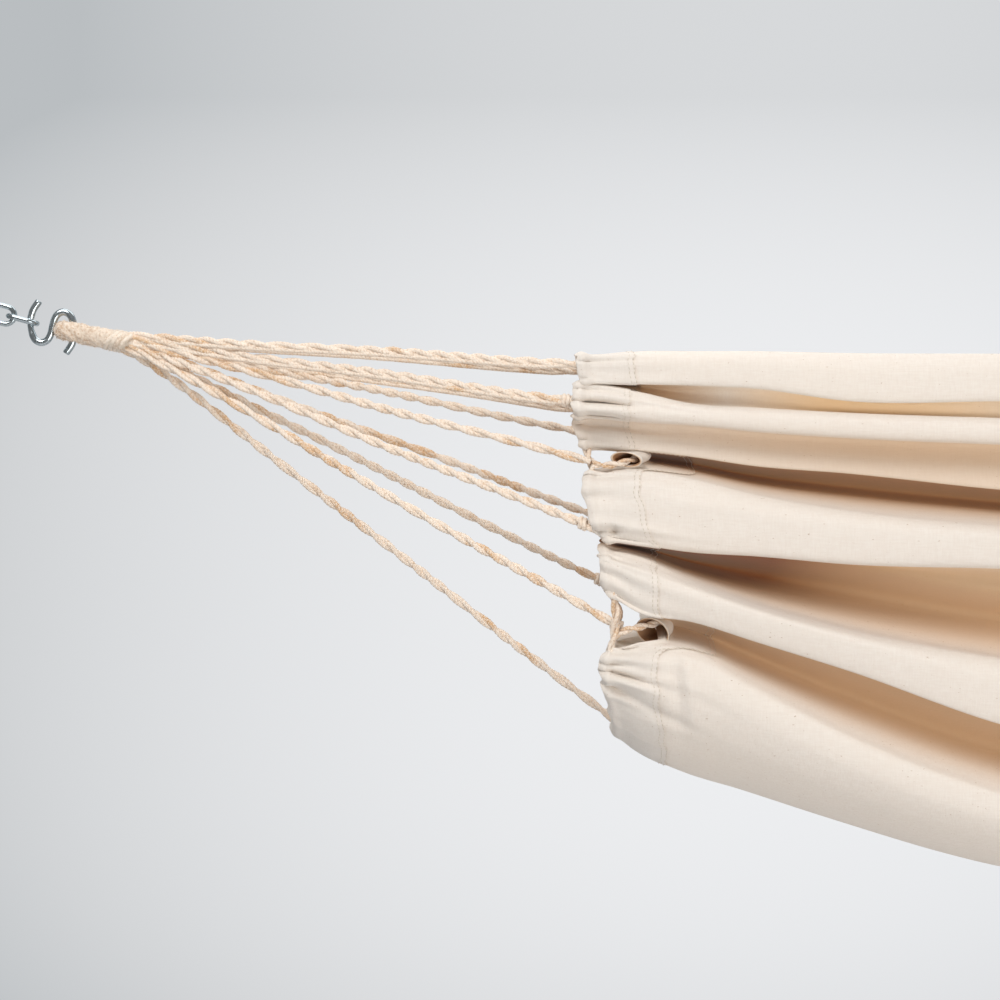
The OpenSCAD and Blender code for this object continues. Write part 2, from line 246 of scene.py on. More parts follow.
def moulded_material(name, dark, light, roughness):
    m = Nodes(name)
    m.set(
        Base_Color=m.mix(m.span(m.noise(40, 3), 0.3, 0.7), dark, light),
        Roughness=m.span(m.noise(120, 3), 0.3, 0.7, roughness - 0.06, roughness + 0.06),
        Specular_IOR_Level=0.3,
    )
    m.bump(m.noise(900, 2), 0.2, 0.0003)
    return m.material


canvas = canvas_material()
rope = rope_material("rope", linear(243, 230, 215), linear(216, 172, 122))
fluffy_rope = rope_material(
    "served_rope", linear(238, 225, 209), linear(186, 146, 106), 380
)
thread = moulded_material("thread", linear(206, 192, 172), linear(226, 214, 196), 0.7)
zinc = zinc_material()
paint = paint_material()
rubber = moulded_material("rubber", linear(24, 24, 25), linear(32, 32, 33), 0.72)
plastic = moulded_material("cap_plastic", linear(28, 29, 31), linear(36, 37, 39), 0.5)

BY_SLOT = {
    "stand_paint": paint,
    "zinc": zinc,
    "rubber": rubber,
    "cap_plastic": plastic,
    "rope": rope,
    "canvas": canvas,
}
for entry in frame["record"]["subparts"]:
    mesh = nodes[entry["node"]].data
    mesh.materials.clear()
    mesh.materials.append(BY_SLOT[entry["material_slot"]])


# ---- Mesh helpers ----


def unit(v):
    return v / np.linalg.norm(v, axis=-1, keepdims=True)


def along(path):
    """The distance from the start at each point of a path."""
    steps = np.linalg.norm(np.diff(path, axis=0), axis=1)
    return np.concatenate([[0], np.cumsum(steps)])


def resample(path, step):
    s = along(path)
    n = max(2, int(round(s[-1] / step)) + 1)
    at = np.linspace(0, s[-1], n)
    return np.stack([np.interp(at, s, path[:, k]) for k in range(3)], 1)


def hermite(t, start, start_slope, end, end_slope):
    return (
        (2 * t**3 - 3 * t**2 + 1) * start
        + (t**3 - 2 * t**2 + t) * start_slope
        + (3 * t**2 - 2 * t**3) * end
        + (t**3 - t**2) * end_slope
    )


def curve_at(xs, ys, x):
    """A smooth curve through (xs, ys), ys with any further axes, read at x."""
    xs, ys, x = np.asarray(xs, float), np.asarray(ys, float), np.asarray(x, float)
    slope = np.gradient(ys, xs, axis=0)
    i = np.clip(np.searchsorted(xs, x) - 1, 0, len(xs) - 2)
    h = xs[i + 1] - xs[i]
    t = (x - xs[i]) / h
    shape = t.shape + (1,) * (ys.ndim - 1)
    t, h = t.reshape(shape), h.reshape(shape)
    return hermite(t, ys[i], h * slope[i], ys[i + 1], h * slope[i + 1])


def smooth_path(points, step):
    points = np.asarray(points, float)
    s = along(points)
    fine = curve_at(s, points, np.linspace(0, s[-1], 40 * len(points)))
    return resample(fine, step)


def sides_of(path, up):
    heading = unit(np.gradient(path, axis=0))
    up = np.broadcast_to(np.asarray(up, float), path.shape)
    u = unit(up - heading * np.sum(up * heading, axis=1, keepdims=True))
    return u, np.cross(heading, u)


def tube(path, up, radius, sides=12, flat=1.0, lobes=0, lay=0.01, depth=0.0):
    """Rings of a tube. Lobes wind around it once in each lay, as a rope's strands do."""
    u, v = sides_of(path, up)
    s = along(path)[:, None]
    a = np.linspace(0, 2 * math.pi, sides, endpoint=False)[None, :]
    r = np.asarray(radius, float).reshape(-1, 1) * np.ones_like(s * a)
    if lobes:
        r = r * (1 + depth * np.cos(lobes * (a - 2 * math.pi * s / lay)))
    return (
        path[:, None]
        + (r * np.cos(a))[..., None] * u[:, None]
        + (r * np.sin(a) * flat)[..., None] * v[:, None]
    )


def wavy(n, scale):
    """n values of smooth noise from -1 to 1, that change over scale values."""
    knots = rng.uniform(-1, 1, int(n / scale) + 4)
    return curve_at(np.arange(len(knots)), knots, 1 + np.arange(n) / scale)


def build(name, parts, material, body="hammock", tan=None, deep=None):
    """One mesh from grids of points. A part is (grid, closed around, capped)."""
    points, faces, start = [], [], 0
    for grid, closed, capped in parts:
        rows, cols = grid.shape[:2]
        index = start + np.arange(rows * cols).reshape(rows, cols)
        right = np.roll(index, -1, axis=1) if closed else index[:, 1:]
        left = index if closed else index[:, :-1]
        quads = np.stack([left[:-1], right[:-1], right[1:], left[1:]], -1)
        faces += quads.reshape(-1, 4).tolist()
        if capped:
            faces += [index[0, ::-1].tolist(), index[-1].tolist()]
        points.append(grid.reshape(-1, 3))
        start += rows * cols
    mesh = bpy.data.meshes.new(name)
    mesh.from_pydata(np.concatenate(points).tolist(), [], faces)
    mesh.polygons.foreach_set("use_smooth", [True] * len(mesh.polygons))
    mesh.materials.append(material)
    # The first attribute holds tan yarn and painted shade between the yarns; the second holds painted shade
    # in the cloth's grooves, and a painted glow below 0
    for label, values in (("tan", tan), ("deep", deep)):
        if values is not None:
            data = mesh.attributes.new(label, "FLOAT", "POINT").data
            data.foreach_set("value", np.asarray(values, np.float32).ravel())
    piece = bpy.data.objects.new(name, mesh)
    bpy.context.scene.collection.objects.link(piece)
    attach(piece, body)
    return piece


def mirrored(points, side):
    """Points of the left end as they are for side -1, and mirrored to the right end for side 1."""
    return points * np.array([-side, 1, 1])


for obj in nodes.values():
    obj.data.polygons.foreach_set("use_smooth", [True] * len(obj.data.polygons))
    bpy.context.view_layer.objects.active = obj
    edge = obj.modifiers.new("sharp edges", "EDGE_SPLIT")
    edge.split_angle = math.radians(35)

# ---- Bed: its folded half section, from the long edge down to the middle ----
# Heights in mm of each fold's edges, at distances from the middle. Every figure is for the left half.

STATION_X = [-1140, -1104, -1063, -1012, -947, -853, -706, -400, 0]
EDGE = [1085, 1085, 1088, 1087, 1086, 1083, 1081, 1078, 1076]
ROLL_LIP = [1056, 1054, 1052, 1050, 1046, 1033, 1032, 1030, 1028]
FOLD2_TOP = [1055, 1053, 1045, 1033, 1028, 1022, 1016, 1008, 1002]
FOLD2_LIP = [1021, 1019, 1014, 1010, 1003, 996, 989, 975, 965]
FOLD3_LIP = [990, 989, 985, 979, 969, 961, 945, 925, 910]
FOLD4_TOP = [969, 968, 969, 961, 945, 929, 914, 890, 875]
FOLD4_LIP = [893, 892, 887, 880, 876, 868, 864, 845, 835]
FOLD4_UNDER = [892, 891, 886, 879, 875, 866, 841, 820, 808]
FOLD5_TOP = [888, 887, 879, 858, 835, 810, 782, 750, 740]
FOLD5_LIP = [846, 840, 817, 808, 788, 759, 708, 660, 640]
FOLD6_TOP = [788, 788, 789, 785, 752, 705, 650, 608, 592]
BOTTOM = [716, 700, 663, 638, 618, 588, 545, 500, 473]
# Half width in mm, the share of it lost towards the bottom, the top pocket's depth in mm, and the other
# grooves' depth as a share
HALF_W = [116, 118, 130, 143, 156, 171, 190, 215, 226]
TAPER = [0.0, 0.0, 0.0, 0.02, 0.04, 0.08, 0.14, 0.26, 0.30]
POCKET = [20, 26, 36, 32, 20, 10, 10, 10, 9]
GROOVE = [0.35, 0.5, 0.85, 1.0, 1.05, 1.05, 1.0, 0.8, 0.65]
LOW_ARC = [12, 30, 48, 64, 78, 90]  # degrees around the round underside
# The hem's line leans inwards as it goes down, and its far wall ends further in than the near one
HEM_TOP_X, HEM_TOP_Z, HEM_LEAN = -1131.0, 1092.0, math.tan(math.radians(6.4))
FAR_INSET = 20.0
BAND = 62.0  # width of the hem's band in mm
STEPS_END = 1062.0  # distance from the hem in mm that the columns' spacing is drawn up for


def section_controls():
    """Outward place and height of each control point at each station."""
    top, b, c, d, e, f, g, under, h, i, j, bottom = (
        np.array(v, float)
        for v in (
            EDGE,
            ROLL_LIP,
            FOLD2_TOP,
            FOLD2_LIP,
            FOLD3_LIP,
            FOLD4_TOP,
            FOLD4_LIP,
            FOLD4_UNDER,
            FOLD5_TOP,
            FOLD5_LIP,
            FOLD6_TOP,
            BOTTOM,
        )
    )
    w, taper, deep, pocket = (np.array(v, float) for v in (HALF_W, TAPER, GROOVE, POCKET))
    inset = 9 * (deep - 0.35)
    rows = [
        (top - 9, -15),
        (top, 2),
        ((top + b) / 2 + 7, 12),
        (b + 2, 8),
        (b + 5, -9),
        ((b + c) / 2 + 5, -pocket),
        (c + 1, -12 * deep),
        (c, 3),
        ((c + d) / 2 + 4, 13),
        (d + 1, 8),
        (d + 1, -16 - inset),
        ((d + e) / 2 + 2, -17 - inset),
        (e + 1, -15 - inset),
        (e + 1.5, -31 - inset),
        ((e + f) / 2 + 3, -60 * deep - 8),
        (f - 2, -12),
        (f - 8, 5),
        (f - 0.35 * (f - g), 15),
        (g + 0.22 * (f - g), 13),
        (g + 1, 6),
        (g + 2, -14),
        (under, -20),
        ((under + h) / 2 + 2, -70 * deep),
        (h - 1, -20 * deep),
        (h - 9, 7),
        ((h + i) / 2 + 6, 19),
        (i + 2, 12),
        (i + 4, -12),
        ((i + j) / 2 + 2, -54 * deep),
        (j - 3, -8),
        (j - 16, 6),
    ]
    out = []
    for z, o in rows:
        u = (top - z) / (top - bottom)
        out.append((w * (1 - taper * u**2) + o, z))
    knee = j - 24
    knee_w = w * (1 - taper * ((top - knee) / (top - bottom)) ** 2) + 8
    for a in LOW_ARC:
        a = math.radians(a)
        out.append((knee_w * math.cos(a), knee - (knee - bottom) * math.sin(a)))
    return np.array(out).transpose(2, 0, 1)


CONTROLS = section_controls()
STATIONS = np.array(STATION_X + [-x for x in STATION_X[-2::-1]], float)
CONTROLS = np.concatenate([CONTROLS, CONTROLS[-2::-1]])
LAST = CONTROLS.shape[1] - 1


def bump_at(v, centre, width):
    return np.exp(-(((v - centre) / width) ** 2))


def notch(t, centre, half, power=8):
    return 1 / (1 + np.abs((t - centre) / half) ** power)


def hem_x(z):
    return HEM_TOP_X + HEM_LEAN * (HEM_TOP_Z - z)


def edge_x(t, z_line, far):
    """Where the cloth ends, at each place along the section."""
    x = hem_x(z_line)
    x = x - 11 * bump_at(t, 9.5, 3.2) - 9 * bump_at(t, 16.8, 1.5) + 7 * bump_at(t, 19.2, 0.7)
    x = x - 12 * bump_at(t, 30.8, 2.1)
    x = x + 6 * notch(t, 21.4, 1.5, 6) + 9 * notch(t, 5.2, 1.2, 6)
    if far:
        x = x + FAR_INSET * np.clip((LAST - t) / 4, 0, 1)
    x = x + 1.0 * np.sin(t * 5.1) + 0.7 * np.sin(t * 8.7 + 1)
    first, second = (13.5, 28.05) if far else (14.0, 28.05)
    wide1, wide2 = (1.85, 1.55) if far else (1.18, 1.22)
    deep1, deep2 = (72, 66) if far else (56, 58)
    return x + deep1 * notch(t, first, wide1) + deep2 * notch(t, second, wide2)


def wrinkles(t, d):
    """Outward push of the gathers, by place along the section and distance from the hem, in mm."""
    near = np.exp(-((d / 62) ** 1.6))
    edge = np.exp(-((d / 24) ** 2))
    out = near * (1 - 0.75 * np.clip((t - 31.5) / 2, 0, 1)) * (
        2.2 * np.sin(t * 4.6 + 0.5 * np.sin(d / 23))
        + 1.7 * np.sin(t * 7.9 + 2 + d / 60)
        + 1.1 * np.sin(t * 12.3 + 1 - d / 45)
    )
    # Tucks in the second fold, where the gather rope pulls it together
    out = out - 15 * bump_at(t, 8.25, 0.12) * np.exp(-((d / 46) ** 4))
    out = out - 12 * bump_at(t, 8.85, 0.11) * np.exp(-((d / 40) ** 4))
    out = out + 4 * bump_at(t, 8.55, 0.2) * np.exp(-((d / 42) ** 4))
    # Dimples in the fourth fold
    out = out - 15 * bump_at(t, 18.3, 0.2) * bump_at(d, 4, 6)
    out = out - 14 * bump_at(t, 18.25, 0.22) * bump_at(d, 19, 6)
    out = out + 4 * bump_at(t, 17.8, 0.3) * bump_at(d, 14, 16)
    # Knob and fan of the fifth fold
    out = out + 6 * bump_at(t, 24.1, 0.25) * edge
    out = out - 8 * bump_at(t, 24.5, 0.13) * np.exp(-((d / 30) ** 2))
    out = out - 6 * bump_at(t, 25.3, 0.2) * np.exp(-((d / 52) ** 2))
    out = out - 5 * bump_at(t, 25.9, 0.2) * np.exp(-((d / 60) ** 2))
    # Creases of the sixth fold
    out = out - 18 * bump_at(t, 30.75 + d / 210, 0.13) * np.exp(-((d / 34) ** 3))
    out = out + 9 * bump_at(t, 30.95 + d / 210, 0.18) * np.exp(-((d / 40) ** 3))
    out = out - 8 * bump_at(t, 30.35, 0.14) * np.exp(-((d / 20) ** 2))
    out = out - 11 * bump_at(t, 31.5 + d / 140, 0.22) * np.exp(-((d / 58) ** 3))
    out = out + 4.5 * bump_at(d, 78, 9) * bump_at(t, 31.0, 1.1)
    out = out - 4 * bump_at(d, 66, 7) * bump_at(t, 31.0, 1.1)
    # Long slow waves that die out towards the middle
    long = np.exp(-((d / 520) ** 2))
    out = out + long * 1.6 * np.sin(t * 2.3 + d / 160) * bump_at(t, 25, 7)
    return out


def section(t, x):
    """Outward place and height at each t (rows) for the x of each point, both of one shape."""
    flat_x = np.clip(x, -1140, 1140).ravel()
    flat_t = t.ravel()
    ring = curve_at(STATIONS, CONTROLS, flat_x)
    k = np.clip(flat_t.astype(int), 0, LAST - 1)
    u = flat_t - k
    n = np.arange(len(flat_t))
    p1, p2 = ring[n, k], ring[n, k + 1]
    p0 = ring[n, np.maximum(k - 1, 0)]
    p3 = ring[n, np.minimum(k + 2, LAST)].copy()
    end = k + 2 > LAST
    p3[end] = ring[n, LAST - 1][end] * np.array([-1, 1])
    m1, m2 = (p2 - p0) / 2 * 0.9, (p3 - p1) / 2 * 0.9
    return hermite(u[:, None], p1, m1, p2, m2).reshape(t.shape + (2,))


def line_z(t):
    """Height of the section at the hem line."""
    return section(t, np.full_like(t, -1118.0))[..., 1]


def cloth(t, d, far):
    """Points of the cloth in metres at t along the section and d mm from its end, on the left half."""
    start = edge_x(t, line_z(t), far)
    x = start + d
    q = section(t, x)
    real = x - hem_x(q[..., 1])
    push = wrinkles(t, np.maximum(real, 0))
    side = 1 if far else -1
    lean = np.clip((LAST - t) / 6, 0, 1)
    lean = lean * lean * (3 - 2 * lean)
    y = side * (q[..., 0] + push * lean)
    z = q[..., 1] - push * (1 - lean)
    return np.stack([x, y, z], -1) * MM


# Stretches of the section with tucks and notches, which need closer rows: from, to and spacing
CLOSE_ROWS = [
    (7.9, 9.2, 0.05),
    (12.4, 15.6, 0.06),
    (17.9, 18.7, 0.06),
    (24.0, 26.0, 0.07),
    (26.4, 29.6, 0.06),
    (29.6, 32.4, 0.06),
]
ROWS = np.unique(
    np.concatenate([np.linspace(0, LAST, LAST * 7 + 1)] + [np.arange(*stretch) for stretch in CLOSE_ROWS])
)
# Rows almost on top of each other would show as creases
ROWS = ROWS[np.append(True, np.diff(ROWS) > 0.03)]
STEPS = np.concatenate(
    [np.arange(0, 96, 3.0), np.arange(96, 250, 6.5), np.arange(250, 620, 14), np.arange(620, 1000, 22)]
)


def half_cloth(distances, far):
    t = np.repeat(ROWS[:, None], len(distances), 1)
    d = np.repeat(distances[None, :], len(ROWS), 0)
    return cloth(t, d, far)


def over_both_walls(near, far):
    """Rows down the near wall and on up the far one, with the middle's row once."""
    return np.concatenate([near, far[-2::-1]])


def whole_section(distances):
    """Both walls, from the near long edge under the middle to the far one."""
    return over_both_walls(half_cloth(distances, False), half_cloth(distances, True))


def stretch_to_middle():
    """The bed's left half. Each row's own spacing is scaled so that all rows meet at the middle."""
    halves = []
    for far in (False, True):
        room = -edge_x(ROWS, line_z(ROWS), far)
        d = room[:, None] * (np.append(STEPS, STEPS_END)[None, :] / STEPS_END)
        t = np.repeat(ROWS[:, None], d.shape[1], 1)
        halves.append(cloth(t, d, far))
    return over_both_walls(*halves)


def normals(grid):
    down = np.gradient(grid, axis=0)
    over = np.gradient(grid, axis=1)
    return unit(np.cross(down, over) + 1e-12)


left_half = stretch_to_middle()
right_half = mirrored(left_half[:, -2::-1], 1)
bed_grid = np.concatenate([left_half, right_half], axis=1)


# Painted shade in the grooves between the folds: place along the section, half width, and depth of the
# painted shade. Below 0, a painted glow where light comes through.
PAINTED_GROOVE_LIGHT = [(5.2, 0.9, -0.95), (10.1, 1.1, 0.26), (13.7, 0.95, 0.92), (21.35, 1.5, 0.8), (27.6, 1.0, 0.82)]
# Painted shade added to them near the hem
HEM_SHADOWS = [(21.3, 1.6, 0.65), (13.9, 0.7, 0.15), (5.2, 0.9, 1.8)]


def groove_sum(grooves):
    return sum(share * notch(ROWS, centre, half, 6) for centre, half, share in grooves)


def painted_fold_light(grid):
    """How much painted shade each point gets, from 0 to 1, and below 0 a painted glow where light comes
    through.
    """
    half = np.clip(groove_sum(PAINTED_GROOVE_LIGHT), -1, 0.93)
    dark = groove_sum(HEM_SHADOWS)
    # Painted shadow over the third fold, under the second fold's lip, away from the hem
    shade = 0.34 * notch(ROWS, 11.0, 1.6, 6)
    half, dark, shade = (over_both_walls(v, v)[:, None] for v in (half, dark, shade))
    x = np.abs(grid[..., 0])
    near = np.exp(-(((1.11 - x) / 0.17) ** 2))
    # The painted glow is weaker towards the middle
    half = np.where(half < 0, half * np.clip(0.4 + (x - 0.7) / 0.3, 0.4, 1), half)
    return np.clip(half + dark * near + shade * (1 - near), -1, 1)


bed = build(
    "bed_cloth",
    [(bed_grid[:, 2:-2], False, False)],
    canvas,
    deep=painted_fold_light(bed_grid[:, 2:-2]),
)
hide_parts("bed")

# ---- Hems: a band doubled over the gather rope ----

BAND_D = np.concatenate([[0.0, 0.6, 1.6], np.arange(3, 24, 2.0), np.arange(24, BAND + 1, 4.0)])


def band_swell(d):
    """Half thickness of the band in mm, with the rope's channel at its end."""
    nose = np.sqrt(np.clip(1 - (1 - np.minimum(d / 4.2, 1)) ** 2, 0, 1))
    return nose * (1.0 + 3.1 * bump_at(d, 7.5, 5.5)) * np.clip((BAND + 3 - d) / 6, 0.25, 1)


def hem_piece(side, label):
    grid = whole_section(BAND_D)
    n = normals(grid)
    swell = band_swell(BAND_D)[None, :, None] * MM
    out = grid + n * swell
    back = grid - n * swell
    loop = np.concatenate([out[:, ::-1], back[:, 1:]], axis=1)
    # The band takes the bed's painted shade and glow
    tint = painted_fold_light(loop) * 0.95
    mouths = [(mirrored(g, side), closed, capped) for g, closed, capped in mouth_parts()]
    # Painted shade on the inner wall of each mouth's sleeve
    painted_mouth_shade = [np.repeat((np.arange(len(g)) < len(g) / 2) * 0.9, g.shape[1]) for g, _, _ in mouths]
    piece = build(
        label + "_hem_band",
        [(mirrored(loop, side), False, False)] + mouths,
        canvas,
        deep=np.concatenate([tint.ravel()] + painted_mouth_shade),
    )
    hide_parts(label + "_hem")
    return piece


def dashes(lines, pitch, radius):
    """Stitches along lines of points."""
    parts = []
    for line in lines:
        fine = resample(line, pitch / 3)
        for k in range(0, len(fine) - 3, 3):
            a, b = fine[k], fine[k + 2]
            a = a + (b - a) * 0.05
            middle = (a + b) / 2
            ring = tube(np.stack([a, middle, b]), (1, 0.01, 0.02), radius * np.array([0.5, 1, 0.5]), 4)
            parts.append((ring, True, True))
    return parts


# Where the hem's channel opens beside each notch: its line, and the half height and half width of its mouth
MOUTHS = [
    ([(-1077, -123, 976), (-1072, -114, 977), (-1065, -101, 979), (-1059, -88, 981)], 7.5, 16.0),
    ([(-1050, -122, 797), (-1046, -113, 798), (-1041, -101, 800), (-1036, -88, 802)], 13.5, 16.0),
]


MOUTH_SIDES = 28


def mouth_parts():
    """A short open sleeve of canvas, with its thickness, on each wall at each notch."""
    parts = []
    for points, high, wide in MOUTHS:
        for far in (1, -1):
            line = smooth_path(np.array(points, float) * np.array([1, far, 1]) * MM, 2 * MM)
            if far == -1:
                line = line + np.array([FAR_INSET * MM, 0, 0])
            n = len(line)
            flare = np.interp(np.linspace(0, 1, n), [0, 0.25, 0.7, 1], [1.12, 1.0, 0.9, 0.7])
            slant = -4 * MM * np.cos(np.linspace(0, 2 * math.pi, MOUTH_SIDES, endpoint=False))
            walls = []
            for wall in (0.0, 1.3):
                ring = tube(line, (0, 0, 1), (high - wall) * MM * flare, MOUTH_SIDES, wide / high)
                ring[0, :, 0] += slant
                ring[1, :, 0] += slant * 0.7
                walls.append(ring)
            parts.append((np.concatenate([walls[1][::-1], walls[0]]), True, False))
    return parts


STITCH_ROWS = (54.0, 59.0)
STITCH_LIFT = 1.2 * MM
hem_bands, stitches = {}, {}
for side, label in ((-1, "left"), (1, "right")):
    hem_bands[label] = hem_piece(side, label)
    rows = []
    for d in STITCH_ROWS:
        at = whole_section(np.array([d - 1, d, d + 1]))
        m = normals(at)
        for lift in (STITCH_LIFT, -STITCH_LIFT):
            rows.append(mirrored((at + m * lift)[:, 1], side))
    stitches[label] = build(label + "_hem_stitches", dashes(rows, 5 * MM, 0.35 * MM), thread)

# ---- Cords ----

EYE_SEAT = np.array([-1676, 0, 1118]) * MM
DROP = math.radians(10.8)
AXIS = np.array([math.cos(DROP), 0, -math.sin(DROP)])
RISE = np.array([math.sin(DROP), 0, math.cos(DROP)])
ACROSS = np.array([0, 1.0, 0])


def from_eye(a, y, z):
    """A point by distance along the end loop's axis, across it and above it, in mm."""
    a, y, z = np.broadcast_arrays(*(np.asarray(v, float) for v in (a, y, z)))
    return EYE_SEAT + (a[..., None] * AXIS + y[..., None] * ACROSS + z[..., None] * RISE) * MM


# Height at the hem in mm, side of the bed, share of tan yarn, whether a straight strand runs beside the pair
CORDS = [
    (1075, -1, 0.10, True),
    (1035, -1, 0.12, True),
    (974, -1, 0.16, False),
    (903, -1, 0.02, False),
    (802, -1, 0.20, False),
    (690, 0, 0.10, False),
    (834, 1, 0.14, False),
    (912, 1, 0.30, False),
    (1010, 1, 0.12, False),
    (1037, 1, 0.10, True),
    (1083, 1, 0.10, True),
]
KNOTTED = (1, 3, 4, 6, 8)  # cords with a small knot before the hem
NOTCH_CORD = 4  # ends on the gather rope in the lower notch, further in than the rest
HEM_HALF_W = 120.0
STRAND_R = 2.85 * MM
STRAND_SIDES, STRAND_LAY, STRAND_DEPTH = 18, 0.0125, 0.11


def hem_point(z, y_side, inside):
    return np.array([hem_x(z) + inside, y_side * HEM_HALF_W, z]) * MM


def cord_path(index):
    z, y_side, _, _ = CORDS[index]
    order = index if index <= 5 else 10 - index
    start = from_eye(55, 9.5 * y_side, 7.0 - 2.9 * order)
    end = hem_point(z, y_side, 15 if index == NOTCH_CORD else {-1: 4, 0: 7, 1: 24}[y_side])
    line = end - start
    s = np.linspace(0, 1, 240)
    length = np.linalg.norm(line)
    base = start + line * s[:, None]
    x = s * length / (95 * MM)
    slope = -line[2] / line[0]
    lift = 9 * MM * max(0.0, slope - 0.15) / 0.65
    side = 5 * MM * y_side
    hump = x * np.exp(1 - x) * np.clip((1 - s) * 4, 0, 1)
    base[:, 2] += lift * hump
    base[:, 1] += -side * hump
    wave = rng.uniform(0, 6, 2)
    fade = np.sin(math.pi * s)
    base[:, 2] += 1.3 * MM * fade * np.sin(9 * s + wave[0])
    base[:, 1] += 1.5 * MM * fade * np.sin(8 * s + wave[1])
    return resample(base, 1.5 * MM)


def fuzz(grid, centre, count, low, high):
    """Short loose fibres that stand off a grid of points around a centreline."""
    rows, cols = grid.shape[:2]
    i, j = rng.integers(0, rows, count), rng.integers(0, cols, count)
    root = grid[i, j]
    out = unit(root - centre[i])
    way = unit(out + 0.9 * rng.standard_normal((count, 3)))
    tip = root + way * rng.uniform(low, high, (count, 1)) * MM
    wide = unit(np.cross(way, rng.standard_normal((count, 3)))) * 0.11 * MM
    foot = np.stack([root - wide, root + wide], 1)
    end = np.stack([tip - 0.2 * wide, tip + 0.2 * wide], 1)
    return np.stack([foot, end], 1)


def yarn_tan(n, share):
    """Stretches of tan yarn along a strand."""
    v = wavy(n, 16) * 0.5 + wavy(n, 44) * 0.6
    return np.clip((v - 0.62 + share * 2.0) * 3.0, 0, 1) * 0.85


def lay_shade(line):
    """Painted shade, in tan, in the grooves between the yarns of a strand."""
    a = np.linspace(0, 2 * math.pi, STRAND_SIDES, endpoint=False)[None, :]
    turn = np.cos(3 * (a - 2 * math.pi * along(line)[:, None] / STRAND_LAY))
    return np.clip(-turn - 0.1, 0, 1) * rng.uniform(0.2, 0.8, turn.shape)


def laid_strand(line, radius, share):
    """A strand of three yarns along a line, and the tan of its points: tan yarn, and painted shade between
    the yarns.
    """
    grid = tube(line, ACROSS, radius, STRAND_SIDES, 1.0, 3, STRAND_LAY, STRAND_DEPTH)
    tan = yarn_tan(len(line), share)[:, None] + lay_shade(line)
    return (grid, True, True), np.clip(tan, 0, 1).ravel()


def strand_parts(path, share, phase, pitch, reach, radius):
    """Two strands laid around each other along a path."""
    parts, tans = [], []
    u, v = sides_of(path, ACROSS)
    s = along(path)
    slow = np.cumsum(1 + 0.35 * wavy(len(s), 40)) * (s[1] - s[0])
    for k in (0, 1):
        turn = (2 * math.pi * slow / pitch + phase + k * math.pi)[:, None]
        line = path + reach * (np.cos(turn) * u + np.sin(turn) * v)
        r = radius * (1 + 0.06 * wavy(len(s), 6))
        part, tint = laid_strand(line, r, share + 0.22 * np.exp(-s / 0.16))
        parts.append(part)
        tans.append(tint)
    return parts, tans


def wrap(path, at, turns, radius, strand_r, share):
    """Turns of a strand around a path, as a small knot."""
    u, v = sides_of(path, ACROSS)
    n = int(turns * 18)
    a = np.linspace(0, turns * 2 * math.pi, n)[:, None]
    k = np.clip((at / 1.5 / MM + np.linspace(0, turns * 2.9, n)).astype(int), 0, len(path) - 1)
    line = path[k] + radius * (np.cos(a) * u[k] + np.sin(a) * v[k])
    line[1:-1] = (line[:-2] + 2 * line[1:-1] + line[2:]) / 4
    ring = tube(line, (1, 0.2, 0), strand_r, 10, 1.0, 3, 0.015, 0.1)
    return (ring, True, True), np.full(n * 10, share)


def make_cord(side, label, index):
    _, _, share, beside = CORDS[index]
    path = cord_path(index)
    phase = rng.uniform(0, 6)
    parts, tans = strand_parts(path, share, phase, 54 * MM, 2.25 * MM, STRAND_R)
    if beside:
        shift = 5.0 * MM * (RISE * -0.9 + ACROSS * -0.25)
        line = path + shift * np.clip(np.sin(math.pi * np.linspace(0, 1, len(path)))[:, None] * 4, 0, 1)
        r = STRAND_R * 0.86 * (1 + 0.05 * wavy(len(path), 6))
        part, tint = laid_strand(line, r, share)
        parts.append(part)
        tans.append(tint)
    if index in KNOTTED:
        back = 0.009 if index == NOTCH_CORD else 0.022
        part, tint = wrap(path, along(path)[-1] - back, 2.2, 4.9 * MM, 2.4 * MM, 0.1)
        parts.append(part)
        tans.append(tint)
    for k in (0, 1):
        hairs = fuzz(parts[k][0], path, 260, 0.8, 2.0)
        parts += [(h, False, False) for h in hairs]
        tans.append(np.zeros(len(hairs) * 4))
    parts = [(mirrored(g, side), c, cap) for g, c, cap in parts]
    piece = build(f"{label}_twisted_cord_{index + 1}", parts, rope, tan=np.concatenate(tans))
    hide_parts(f"{label}_cord_{index + 1}")
    line = mirrored(path, side)


# The S-hook's lower half from its middle, across and up in mm
S_HOOK_HALF = [
    (-0.9, -4),
    (-2.4, -9),
    (-6.2, -14.6),
    (-12.2, -16.9),
    (-18.2, -14.4),
    (-22.7, -6),
    (-24.3, 5),
    (-21.6, 18),
    (-14.6, 29),
]
S_HOOK_MIDDLE = np.array([-1700.5, 0, 1124])
S_HOOK_SEAT = np.array([-1724.5, 0, 1125.5])
WIRE_R = 3.98 * MM


